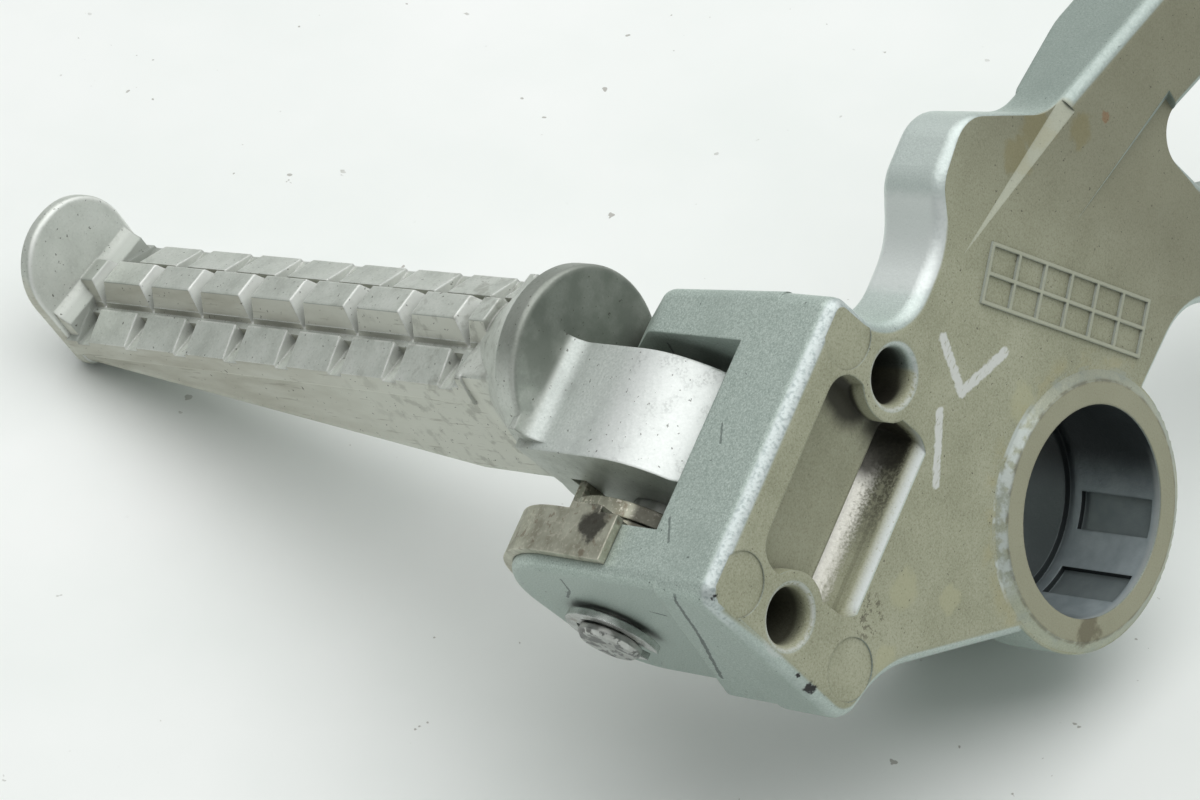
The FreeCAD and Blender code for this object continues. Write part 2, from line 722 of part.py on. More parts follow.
def build_footpeg():
    """The folding peg, one casting: tongue, flange, bar and tip."""
    centre = Vector(FLANGE_X, 0, FLANGE_Z)
    flange = post(FLANGE_X, FLANGE_Z, FLANGE_RADIUS, FLANGE_Y, FLANGE_Y + FLANGE_THICKNESS)
    flange = flange.makeFillet(0.8, edges_at_y(flange, FLANGE_Y))
    flare = Part.makeCone(
        FLANGE_RADIUS,
        SHOULDER_TOP + 0.6,
        FLARE_LENGTH,
        Vector(FLANGE_X, FLANGE_Y + FLANGE_THICKNESS, FLANGE_Z),
        Vector(0, 1, 0),
    )
    tread = build_tread()
    tread.rotate(centre, Vector(0, 1, 0), PIN_LEAN_DEG)
    peg = tread.fuse([flange, flare, tongue_solid(), tongue_root()])
    hole = rod(PIN_Y, PIN_Z, PIN_RADIUS + PIN_CLEARANCE, TONGUE_REAR_X - 5.0, TONGUE_FRONT_X + 5.0)
    hook_y, hook_z = hook_corner()
    catch = Part.makeBox(3.2, 2.6, 4.0, Vector(TONGUE_REAR_X - 0.6, hook_y - 0.3, hook_z - 0.3))
    return peg.cut([hole, catch]).removeSplitter()


def hook_corner():
    """Lower inner corner of the spring's hook, in y and z."""
    inner = COIL_OUTER_RADIUS - STRIP_THICKNESS
    turn = math.radians(HOOK_ANGLE_DEG)
    return PIN_Y + inner * math.cos(turn) - 0.2, PIN_Z + inner * math.sin(turn) - 0.4


def build_pin():
    """Headed pivot pin with a groove near its plain end."""
    clip_x = REAR_EAR_OUTER_X - RING_CLIP_GAP - RING_CLIP_THICKNESS
    end_x = clip_x - 1.3
    seat_x = FORK_FRONT_X + 0.1
    shank = rod(PIN_Y, PIN_Z, PIN_RADIUS, end_x, seat_x + 0.2)
    shank = shank.makeChamfer(0.5, [edge for edge in shank.Edges if edge.BoundBox.XMax < end_x + 0.01])
    head = rod(PIN_Y, PIN_Z, PIN_HEAD_RADIUS, seat_x, seat_x + PIN_HEAD_LENGTH)
    head = head.makeFillet(0.6, [edge for edge in head.Edges if edge.BoundBox.XMin > seat_x + 1.0])
    groove = rod(PIN_Y, PIN_Z, PIN_RADIUS + 1.0, clip_x - 0.05, clip_x + RING_CLIP_THICKNESS + 0.05)
    core = rod(PIN_Y, PIN_Z, PIN_GROOVE_RADIUS, clip_x - 1.0, clip_x + RING_CLIP_THICKNESS + 1.0)
    return shank.fuse(head).cut(groove.cut(core)).removeSplitter()


def build_ring_clip():
    """Open retaining ring with three prongs that bear in the pin's groove."""
    clip_x = REAR_EAR_OUTER_X - RING_CLIP_GAP - RING_CLIP_THICKNESS
    thickness = RING_CLIP_THICKNESS
    disc = rod(PIN_Y, PIN_Z, RING_CLIP_RADIUS, clip_x, clip_x + thickness)
    hollow = rod(PIN_Y, PIN_Z, PIN_GROOVE_RADIUS + 1.5, clip_x - 1.0, clip_x + thickness + 1.0)
    prongs = []
    for turn in (0.0, 115.0, -115.0):
        prong = Part.makeBox(thickness, 2.2, RING_CLIP_RADIUS - 0.6, Vector(clip_x, PIN_Y - 1.1, PIN_Z))
        prong.rotate(Vector(0, PIN_Y, PIN_Z), Vector(1, 0, 0), turn)
        prongs.append(prong)
    mouth_width = 5.0
    mouth_height = RING_CLIP_RADIUS + 2.0
    mouth = Part.makeBox(
        thickness + 2.0,
        mouth_width,
        mouth_height,
        Vector(clip_x - 1.0, PIN_Y - mouth_width / 2, PIN_Z - mouth_height),
    )
    seat = rod(PIN_Y, PIN_Z, PIN_GROOVE_RADIUS + 0.02, clip_x - 1.0, clip_x + thickness + 1.0)
    clip = disc.cut(hollow).fuse(prongs).cut([mouth, seat])
    clip = clip.removeSplitter()
    clip.rotate(Vector(0, PIN_Y, PIN_Z), Vector(1, 0, 0), -35.0)
    return clip


def arc_strip(centre_y, centre_z, inner, outer, start_deg, end_deg, x_start, x_end):
    """Part of a tube along x, between two angles counted from y towards z."""
    width = x_end - x_start
    sweep = end_deg - start_deg
    ring = Part.makeCylinder(outer, width, Vector(0, 0, x_start), Vector(0, 0, 1), sweep)
    core = Part.makeCylinder(inner, width + 2.0, Vector(0, 0, x_start - 1.0))
    sector = ring.cut(core)
    sector.rotate(Vector(0, 0, 0), Vector(0, 0, 1), start_deg)
    return place_along_x(sector, centre_y, centre_z)


def place_along_x(shape, y, z):
    """Turns a solid built along z so that it lies along x, with its x axis along y."""
    moved = shape.copy()
    moved.Placement = FreeCAD.Placement(
        Vector(0, y, z), FreeCAD.Rotation(Vector(0, 1, 0), Vector(0, 0, 1), Vector(1, 0, 0), "ZXY")
    ).multiply(moved.Placement)
    return moved


def build_spring():
    """Flat-strip return spring: two turns in the slot, and a tab hooked over the rear ear."""
    outer = COIL_OUTER_RADIUS
    inner = outer - STRIP_THICKNESS
    first_rear = COIL_FRONT_X - COIL_STRIP_WIDTH
    second_front = COIL_FRONT_X - COIL_PITCH
    second_rear = second_front - COIL_STRIP_WIDTH
    turn_end = 350.0
    first = arc_strip(PIN_Y, PIN_Z, inner, outer, HOOK_ANGLE_DEG, turn_end, first_rear, COIL_FRONT_X)
    second = arc_strip(PIN_Y, PIN_Z, inner, outer, turn_end - 360.0, 318.0, second_rear, second_front)
    joggle = arc_strip(PIN_Y, PIN_Z, inner, outer, turn_end - 15.0, turn_end, second_rear, COIL_FRONT_X)
    hook_y, hook_z = hook_corner()
    hook_length = TONGUE_REAR_X - first_rear + 1.6
    hook = Part.makeBox(hook_length, STRIP_THICKNESS, 3.0, Vector(first_rear, hook_y, hook_z))
    corner_y = PIN_Y
    corner_z = FORK_TOP_Z - REAR_EAR_NOSE
    lift = REAR_EAR_NOSE + SPRING_GAP
    tab = Part.makeBox(
        TAB_FRONT_X - TAB_REAR_X,
        corner_y - TAB_END_Y,
        STRIP_THICKNESS,
        Vector(TAB_REAR_X, TAB_END_Y, corner_z + lift),
    )
    bend_outer = lift + STRIP_THICKNESS
    bend = arc_strip(corner_y, corner_z, lift, bend_outer, 4.0, 90.0, TAB_REAR_X, TAB_FRONT_X)
    riser_top = corner_z + bend_outer
    riser = Part.makeBox(
        second_rear + 0.6 - (SLOT_REAR_X + 0.3),
        5.0,
        riser_top - (PIN_Z + inner - 0.6),
        Vector(SLOT_REAR_X + 0.3, TAB_END_Y + 3.0, PIN_Z + inner - 0.6),
    )
    return first.fuse([second, joggle, hook, tab, bend, riser]).removeSplitter()


def stand(shape):
    """Turns a piece from the pin's frame to the level frame of the finished part."""
    turned = shape.copy()
    turned.rotate(Vector(0, 0, 0), Vector(0, 1, 0), -PIN_LEAN_DEG)
    return turned


def main():
    os.makedirs("parts", exist_ok=True)
    pieces = {
        "bracket": build_bracket(),
        "footpeg": build_footpeg(),
        "pivot_pin": build_pin(),
        "retaining_ring": build_ring_clip(),
        "return_spring": build_spring(),
    }
    for name, shape in pieces.items():
        stand(shape).exportStep("parts/" + name + ".step")


main()
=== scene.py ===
import json
import math

import bpy
from mathutils import Euler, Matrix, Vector

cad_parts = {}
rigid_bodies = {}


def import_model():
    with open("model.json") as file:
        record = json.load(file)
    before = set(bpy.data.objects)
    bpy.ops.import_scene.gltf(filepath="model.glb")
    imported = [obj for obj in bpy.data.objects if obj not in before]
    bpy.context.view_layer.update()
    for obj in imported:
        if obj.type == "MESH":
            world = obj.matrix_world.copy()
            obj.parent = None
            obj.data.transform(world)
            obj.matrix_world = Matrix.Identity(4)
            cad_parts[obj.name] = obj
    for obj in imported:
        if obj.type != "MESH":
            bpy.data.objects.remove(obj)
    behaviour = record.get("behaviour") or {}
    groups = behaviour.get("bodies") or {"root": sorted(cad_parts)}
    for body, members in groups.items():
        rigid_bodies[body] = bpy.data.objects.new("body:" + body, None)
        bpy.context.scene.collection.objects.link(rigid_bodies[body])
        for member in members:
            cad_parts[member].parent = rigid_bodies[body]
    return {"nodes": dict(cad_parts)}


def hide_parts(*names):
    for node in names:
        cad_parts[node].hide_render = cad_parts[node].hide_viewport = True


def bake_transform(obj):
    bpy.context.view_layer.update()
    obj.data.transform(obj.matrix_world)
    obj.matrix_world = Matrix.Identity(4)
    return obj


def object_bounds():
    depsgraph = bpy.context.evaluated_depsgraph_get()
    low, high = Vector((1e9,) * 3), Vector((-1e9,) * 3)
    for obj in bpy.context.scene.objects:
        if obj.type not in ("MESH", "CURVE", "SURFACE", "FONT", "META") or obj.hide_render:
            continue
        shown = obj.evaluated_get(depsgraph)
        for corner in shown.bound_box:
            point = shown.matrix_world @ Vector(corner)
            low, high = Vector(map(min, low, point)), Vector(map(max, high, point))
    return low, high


for leftover in list(bpy.data.objects):
    bpy.data.objects.remove(leftover)

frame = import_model()
cad_low, cad_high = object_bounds()
scene = bpy.context.scene
scene.view_settings.view_transform = "Standard"

# Camera of the photograph, in metres and degrees.
CAMERA_PLACE = (-0.23074, -0.30641, 0.30730)
CAMERA_TURN = (50.851, 29.199, -52.532)
CAMERA_LENS = 120.0
CAMERA_SENSOR = 36.0

# Table, in metres, tilted because the footrest lies on the peg's tip and the end of its boss.
TABLE_NORMAL = Vector((0.222, -0.438, 0.871)).normalized()
TABLE_SIZE = 4.0
# Painted shade on the table: it darkens towards its near side, across this stretch in metres.
TABLE_DIM_TOWARDS = Vector((0.1, -0.75, -0.66)).normalized()
TABLE_DIM_START = -0.10
TABLE_DIM_END = 0.14

# Light of the room: a pale sky, then each lamp's direction, distance, width (metres) and power (watts).
SKY_COLOUR = (0.93, 0.97, 0.96, 1.0)
SKY_STRENGTH = 0.26
CEILING_WINDOW = ((0.42, -0.34, 0.84), 0.9, 1.5, 12.2)
NEAR_WALL = ((0.10, -0.95, 0.30), 1.2, 1.2, 0.8)

# The pivot pin leans by this much. Finishes are laid out in millimetres in the pin's own frame:
# x along the pin, y along the peg, z square to both, from the centre of the bore.
PIN_LEAN = math.radians(14.0)
MILLIMETRES = 1000.0

# Bracket: back face, fluted bore in its ring, shelf of the pocket, area of pocket and holes, holes.
BACK_FACE_Y = 0.8
BORE_RADIUS = 13.2
FLUTE_DEPTH = 0.8
FLUTE_END_Y = 12.6
RING_RADIUS = 16.0
RING_FOOT_RADIUS = 17.9
SHELF_Y = 3.4
RECESS_REAR_X = -39.0
RECESS_FRONT_X = -1.2
RECESS_LOW_Z = 29.0
RECESS_HIGH_Z = 50.2
RECESS_DEEP_Y = 11.5
REAR_HOLE = (-34.7, 40.2)
FRONT_HOLE = (-3.5, 40.2)
HOLE_END_Y = 9.8

# Pin, spring and peg.
PIN_Y = 28.0
PIN_Z = 38.8
PIN_END_X = -41.7
SPRING_REAR_X = -31.1
SPRING_FRONT_X = -26.9
FLANGE_Y = 39.5
TREAD_START_Y = 50.0
TIP_Y = 131.0

# Finishes: roughness of the noise, samples of the nodes that look around them, rounding of edges.
NOISE_ROUGHNESS = 0.55
LOOK_SAMPLES = 4
CAST_EDGE = 0.4
STRIP_EDGE = 0.3
TURNED_EDGE = 0.2


def tint(red, green, blue):
    """Linear colour of a screen shade given from 0 to 255."""
    shades = []
    for part in (red, green, blue):
        share = part / 255.0
        if share <= 0.04045:
            shades.append(share / 12.92)
        else:
            shades.append(((share + 0.055) / 1.055) ** 2.4)
    return tuple(shades)


class Finish:
    """A material under construction, with short ways to add the nodes it needs."""

    def __init__(self, name):
        self.material = bpy.data.materials.new(name)
        self.material.use_nodes = True
        self.tree = self.material.node_tree
        self.surface = self.tree.nodes["Principled BSDF"]
        self.along_pin = None
        self.normal = None

    def add(self, kind):
        return self.tree.nodes.new(kind)

    def feed(self, value, socket):
        """Links an output to a socket, or sets a plain value on it."""
        if isinstance(value, bpy.types.NodeSocket):
            self.tree.links.new(value, socket)
        else:
            socket.default_value = value

    def place(self):
        """Object coordinates in millimetres, turned so that x lies along the pivot pin."""
        if self.along_pin is None:
            coordinates = self.add("ShaderNodeTexCoord")
            turn = self.add("ShaderNodeMapping")
            turn.inputs["Scale"].default_value = (MILLIMETRES,) * 3
            turn.inputs["Rotation"].default_value = (0, PIN_LEAN, 0)
            self.feed(coordinates.outputs["Object"], turn.inputs["Vector"])
            self.along_pin = turn.outputs["Vector"]
        return self.along_pin

    def axis(self, letter):
        """One coordinate of the pin's frame."""
        split = self.add("ShaderNodeSeparateXYZ")
        self.feed(self.place(), split.inputs[0])
        return split.outputs[letter]

    def vector_maths(self, operation, first, second):
        node = self.add("ShaderNodeVectorMath")
        node.operation = operation
        self.feed(first, node.inputs[0])
        self.feed(second, node.inputs[1])
        return node

    def facing(self, direction, leaned=True):
        """How far the surface faces a direction of the pin's frame, or of the level one."""
        heading = Vector(direction).normalized()
        if leaned:
            heading.rotate(Euler((0, -PIN_LEAN, 0)))
        geometry = self.add("ShaderNodeNewGeometry")
        return self.vector_maths("DOT_PRODUCT", geometry.outputs["Normal"], heading).outputs["Value"]

    def from_axis(self, x, z):
        """Distance from a line along y."""
        flat = self.vector_maths("MULTIPLY", self.place(), (1, 0, 1)).outputs[0]
        return self.vector_maths("DISTANCE", flat, (x, 0, z)).outputs["Value"]

    def bearing(self):
        """Degrees round the axis of the bore, from z towards x."""
        angle = self.maths("ARCTAN2", self.axis("X"), self.axis("Z"))
        return self.maths("MULTIPLY", angle, math.degrees(1.0))

    def maths(self, operation, first, second=0.0):
        node = self.add("ShaderNodeMath")
        node.operation = operation
        self.feed(first, node.inputs[0])
        self.feed(second, node.inputs[1])
        return node.outputs[0]

    def both(self, *masks):
        """Product of masks or strengths: 1 only where all are."""
        result = masks[0]
        for mask in masks[1:]:
            result = self.maths("MULTIPLY", result, mask)
        return result

    def either(self, *masks):
        """The largest of several masks."""
        result = masks[0]
        for mask in masks[1:]:
            result = self.maths("MAXIMUM", result, mask)
        return result

    def other(self, mask):
        """1 where a mask is 0."""
        return self.maths("SUBTRACT", 1.0, mask)

    def fade(self, value, low, high):
        """0 at low and 1 at high, smooth in between; low may be the larger."""
        node = self.add("ShaderNodeMapRange")
        node.interpolation_type = "SMOOTHSTEP"
        self.feed(value, node.inputs["Value"])
        node.inputs["From Min"].default_value = low
        node.inputs["From Max"].default_value = high
        return node.outputs["Result"]

    def between(self, value, low, high, soft):
        """1 from low to high, fading over a soft width on each side."""
        rising = self.fade(value, low - soft, low + soft)
        return self.both(rising, self.fade(value, high + soft, high - soft))

    def grain(self, size, detail=3.0, stretch=(1.0, 1.0, 1.0)):
        """Noise whose features are about this many millimetres wide."""
        squeeze = self.add("ShaderNodeMapping")
        squeeze.inputs["Scale"].default_value = stretch
        self.feed(self.place(), squeeze.inputs["Vector"])
        noise = self.add("ShaderNodeTexNoise")
        noise.inputs["Scale"].default_value = 1.0 / size
        noise.inputs["Detail"].default_value = detail
        noise.inputs["Roughness"].default_value = NOISE_ROUGHNESS
        self.feed(squeeze.outputs[0], noise.inputs["Vector"])
        return noise.outputs["Fac"]

    def spots(self, size, threshold, softness=0.03):
        """Scattered specks where a noise passes a threshold."""
        return self.fade(self.grain(size, 2.0), threshold, threshold + softness)

    def waver(self, size, amount):
        """Noise round zero, to make a border uneven."""
        centred = self.maths("SUBTRACT", self.grain(size, 4.0), 0.5)
        return self.maths("MULTIPLY", centred, amount)

    def near(self, point, radius, ragged=0.0):
        """1 inside a ball round a point, with an edge made ragged by noise."""
        measure = self.vector_maths("DISTANCE", self.place(), point).outputs["Value"]
        if ragged:
            measure = self.maths("ADD", measure, self.waver(radius * 0.6, ragged))
        return self.fade(measure, radius, radius * 0.6)

    def stroke(self, start, end, width, ragged=1.0, keep=(1.0, 1.0, 1.0)):
        """1 along a line between two points, with broken edges; an axis kept at 0 isn't measured."""
        start = Vector(start)
        along = Vector(end) - start
        offset = self.vector_maths("SUBTRACT", self.place(), start).outputs[0]
        offset = self.vector_maths("MULTIPLY", offset, keep).outputs[0]
        share = self.vector_maths("DOT_PRODUCT", offset, along / along.length_squared).outputs["Value"]
        held = self.add("ShaderNodeClamp")
        self.feed(share, held.inputs[0])
        foot = self.add("ShaderNodeVectorMath")
        foot.operation = "SCALE"
        foot.inputs[0].default_value = along
        self.feed(held.outputs[0], foot.inputs["Scale"])
        measure = self.vector_maths("DISTANCE", offset, foot.outputs[0]).outputs["Value"]
        measure = self.maths("ADD", measure, self.waver(0.8, width * ragged))
        return self.fade(measure, width * 0.55, width * 0.35)

    def colours(self, value, *stops):
        """Colour ramp through (place, colour) stops."""
        node = self.add("ShaderNodeValToRGB")
        self.feed(value, node.inputs[0])
        band = node.color_ramp
        while len(band.elements) < len(stops):
            band.elements.new(0.5)
        for element, (position, colour) in zip(band.elements, stops):
            element.position = position
            element.color = tuple(colour) + (1.0,)
        return node.outputs[0]

    def cover(self, below, mask, above):
        """Colour above over colour below, by a mask."""
        node = self.add("ShaderNodeMix")
        node.data_type = "RGBA"
        self.feed(mask, node.inputs[0])
        for colour, socket in ((below, node.inputs[6]), (above, node.inputs[7])):
            if not isinstance(colour, bpy.types.NodeSocket):
                colour = tuple(colour) + (1.0,)
            self.feed(colour, socket)
        return node.outputs[2]

    def level(self, below, mask, above):
        """Number above over number below, by a mask."""
        node = self.add("ShaderNodeMix")
        node.data_type = "FLOAT"
        self.feed(mask, node.inputs[0])
        self.feed(below, node.inputs[2])
        self.feed(above, node.inputs[3])
        return node.outputs[0]

    def hollows(self, reach):
        """1 where nearby walls shut the light out, within a reach in millimetres."""
        node = self.add("ShaderNodeAmbientOcclusion")
        node.samples = LOOK_SAMPLES
        node.inputs["Distance"].default_value = reach / MILLIMETRES
        return self.fade(node.outputs["AO"], 0.85, 0.35)

    def soften(self, radius):
        """Rounds the look of sharp edges by this many millimetres."""
        node = self.add("ShaderNodeBevel")
        node.samples = LOOK_SAMPLES
        node.inputs["Radius"].default_value = radius / MILLIMETRES
        self.normal = node.outputs[0]

    def edges(self):
        """1 along the edges that soften has rounded."""
        geometry = self.add("ShaderNodeNewGeometry")
        bend = self.vector_maths("DOT_PRODUCT", geometry.outputs["Normal"], self.normal)
        return self.fade(bend.outputs["Value"], 0.985, 0.90)

    def roughen(self, height, depth, strength=1.0):
        """Bump from a height between 0 and 1, this many millimetres deep."""
        node = self.add("ShaderNodeBump")
        node.inputs["Strength"].default_value = strength
        node.inputs["Distance"].default_value = depth / MILLIMETRES
        self.feed(height, node.inputs["Height"])
        if self.normal is not None:
            self.feed(self.normal, node.inputs["Normal"])
        self.normal = node.outputs[0]

    def finish(self, colour, roughness, metallic):
        """Feeds the surface and gives the material."""
        self.feed(colour, self.surface.inputs["Base Color"])
        self.feed(roughness, self.surface.inputs["Roughness"])
        self.feed(metallic, self.surface.inputs["Metallic"])
        if self.normal is not None:
            self.feed(self.normal, self.surface.inputs["Normal"])
        return self.material


def silver_paint(coat):
    """Fine-grained silver paint with clouds, pinholes, scratches and creases, with painted light on the
    lobe and painted shade on the arm and ear sides.
    """
    sparkle = coat.grain(0.2, 2.0)
    silver = coat.colours(
        sparkle,
        (0.30, tint(160, 175, 167)),
        (0.50, tint(183, 197, 189)),
        (0.70, tint(205, 217, 210)),
    )
    cloud = coat.fade(coat.grain(11.0, 4.0), 0.5, 0.72)
    silver = coat.cover(silver, coat.both(cloud, 0.35), tint(160, 174, 166))
    pinholes = coat.spots(0.7, 0.715, 0.02)
    silver = coat.cover(silver, coat.both(pinholes, 0.7), tint(62, 68, 66))
    # Painted light: the paint is lighter on the lobe's side.
    lobe_side_light = coat.between(coat.axis("X"), 4.0, 30.0, 4.0)
    silver = coat.cover(silver, coat.both(lobe_side_light, 0.6), tint(222, 231, 228))
    # Painted highlight along the lobe's edge.
    lobe_highlight = coat.stroke((10.5, 0, 43.4), (14.0, 0, 44.2), 9.0, 0.1, (1, 0, 1))
    silver = coat.cover(silver, coat.both(lobe_highlight, 0.7), tint(244, 248, 246))
    # Painted shade: the paint is darker on the arm.
    arm_side_shade = coat.fade(coat.axis("X"), 34.0, 42.0)
    silver = coat.cover(silver, coat.both(arm_side_shade, 0.45), tint(124, 137, 131))
    scratch = coat.either(
        coat.stroke((-37.4, 24.6, 31.0), (-40.5, 13.5, 26.4), 0.5),
        coat.stroke((-18.0, 9.6, 53.9), (-20.4, 8.6, 53.9), 0.35),
        coat.stroke((-30.4, 11.2, 53.9), (-33.2, 9.8, 53.9), 0.4),
    )
    silver = coat.cover(silver, coat.both(scratch, 0.6), tint(84, 92, 90))
    # Painted shade on the ear sides that face down the pin; the creases are kept to these sides.
    ear_side_shade = coat.fade(coat.facing((-1, 0, 0)), 0.6, 0.9)
    silver = coat.cover(silver, coat.both(ear_side_shade, 0.35), tint(138, 151, 144))
    creases = coat.either(
        coat.stroke((0, 6.2, 53.0), (0, 8.6, 46.0), 0.5, 1.2, (0, 1, 1)),
        coat.stroke((0, 8.6, 46.0), (0, 14.8, 32.5), 0.6, 1.4, (0, 1, 1)),
        coat.stroke((0, 26.8, 51.0), (0, 28.2, 47.8), 0.35, 1.2, (0, 1, 1)),
        coat.stroke((0, 28.2, 47.8), (0, 30.6, 45.4), 0.4, 1.2, (0, 1, 1)),
        coat.stroke((0, 16.8, 45.4), (0, 14.6, 44.9), 0.35, 1.2, (0, 1, 1)),
    )
    return coat.cover(silver, coat.both(creases, ear_side_shade, 0.75), tint(66, 74, 74))


def bare_back(coat):
    """Bare metal gone khaki with road film: an even tone, fine grain, patches and stains."""
    film = coat.grain(9.0, 4.0)
    khaki = coat.colours(
        film,
        (0.30, tint(161, 163, 138)),
        (0.50, tint(172, 174, 149)),
        (0.70, tint(181, 183, 159)),
    )
    fine = coat.grain(0.22, 2.0)
    khaki = coat.cover(khaki, coat.both(coat.fade(fine, 0.50, 0.75), 0.45), tint(196, 196, 176))
    khaki = coat.cover(khaki, coat.both(coat.fade(fine, 0.50, 0.28), 0.45), tint(126, 124, 103))
    # Darker towards the arm.
    dull = coat.fade(coat.axis("X"), 8.0, 38.0)
    khaki = coat.cover(khaki, coat.both(dull, 0.6), tint(120, 118, 99))
    patch = coat.either(
        coat.near((-23.3, BACK_FACE_Y, 24.6), 3.0, 3.0),
        coat.near((-20.7, BACK_FACE_Y, 16.8), 2.2, 2.5),
        coat.near((-31.7, BACK_FACE_Y, 23.1), 2.2, 2.0),
        coat.near((5.0, BACK_FACE_Y, 18.5), 3.0, 3.5),
    )
    khaki = coat.cover(khaki, coat.both(patch, 0.6), tint(186, 186, 153))
    stain = coat.either(
        coat.near((34.0, BACK_FACE_Y, 34.2), 3.2, 4.0),
        coat.near((29.2, BACK_FACE_Y, 35.6), 2.8, 4.0),
        coat.near((37.4, BACK_FACE_Y, 27.8), 2.6, 4.0),
    )
    khaki = coat.cover(khaki, coat.both(stain, 0.35), tint(136, 122, 62))
    crumbs = coat.both(
        coat.near((-28.7, BACK_FACE_Y, 28.3), 3.4, 3.0),
        coat.fade(coat.grain(0.5, 3.0), 0.52, 0.60),
    )
    khaki = coat.cover(khaki, coat.both(crumbs, 0.6), tint(84, 78, 60))
    rust_spot = coat.near((41.3, BACK_FACE_Y, 24.6), 0.8, 1.3)
    khaki = coat.cover(khaki, coat.both(rust_spot, 0.45), tint(146, 88, 34))
    halo = coat.both(
        coat.between(coat.from_axis(0, 0), 17.6, 19.6, 1.2),
        coat.fade(coat.grain(3.0, 4.0), 0.42, 0.62),
    )
    khaki = coat.cover(khaki, coat.both(halo, 0.4), tint(182, 174, 132))
    specks = coat.both(coat.spots(0.5, 0.71, 0.03), 0.7)
    return coat.cover(khaki, specks, tint(70, 64, 52))


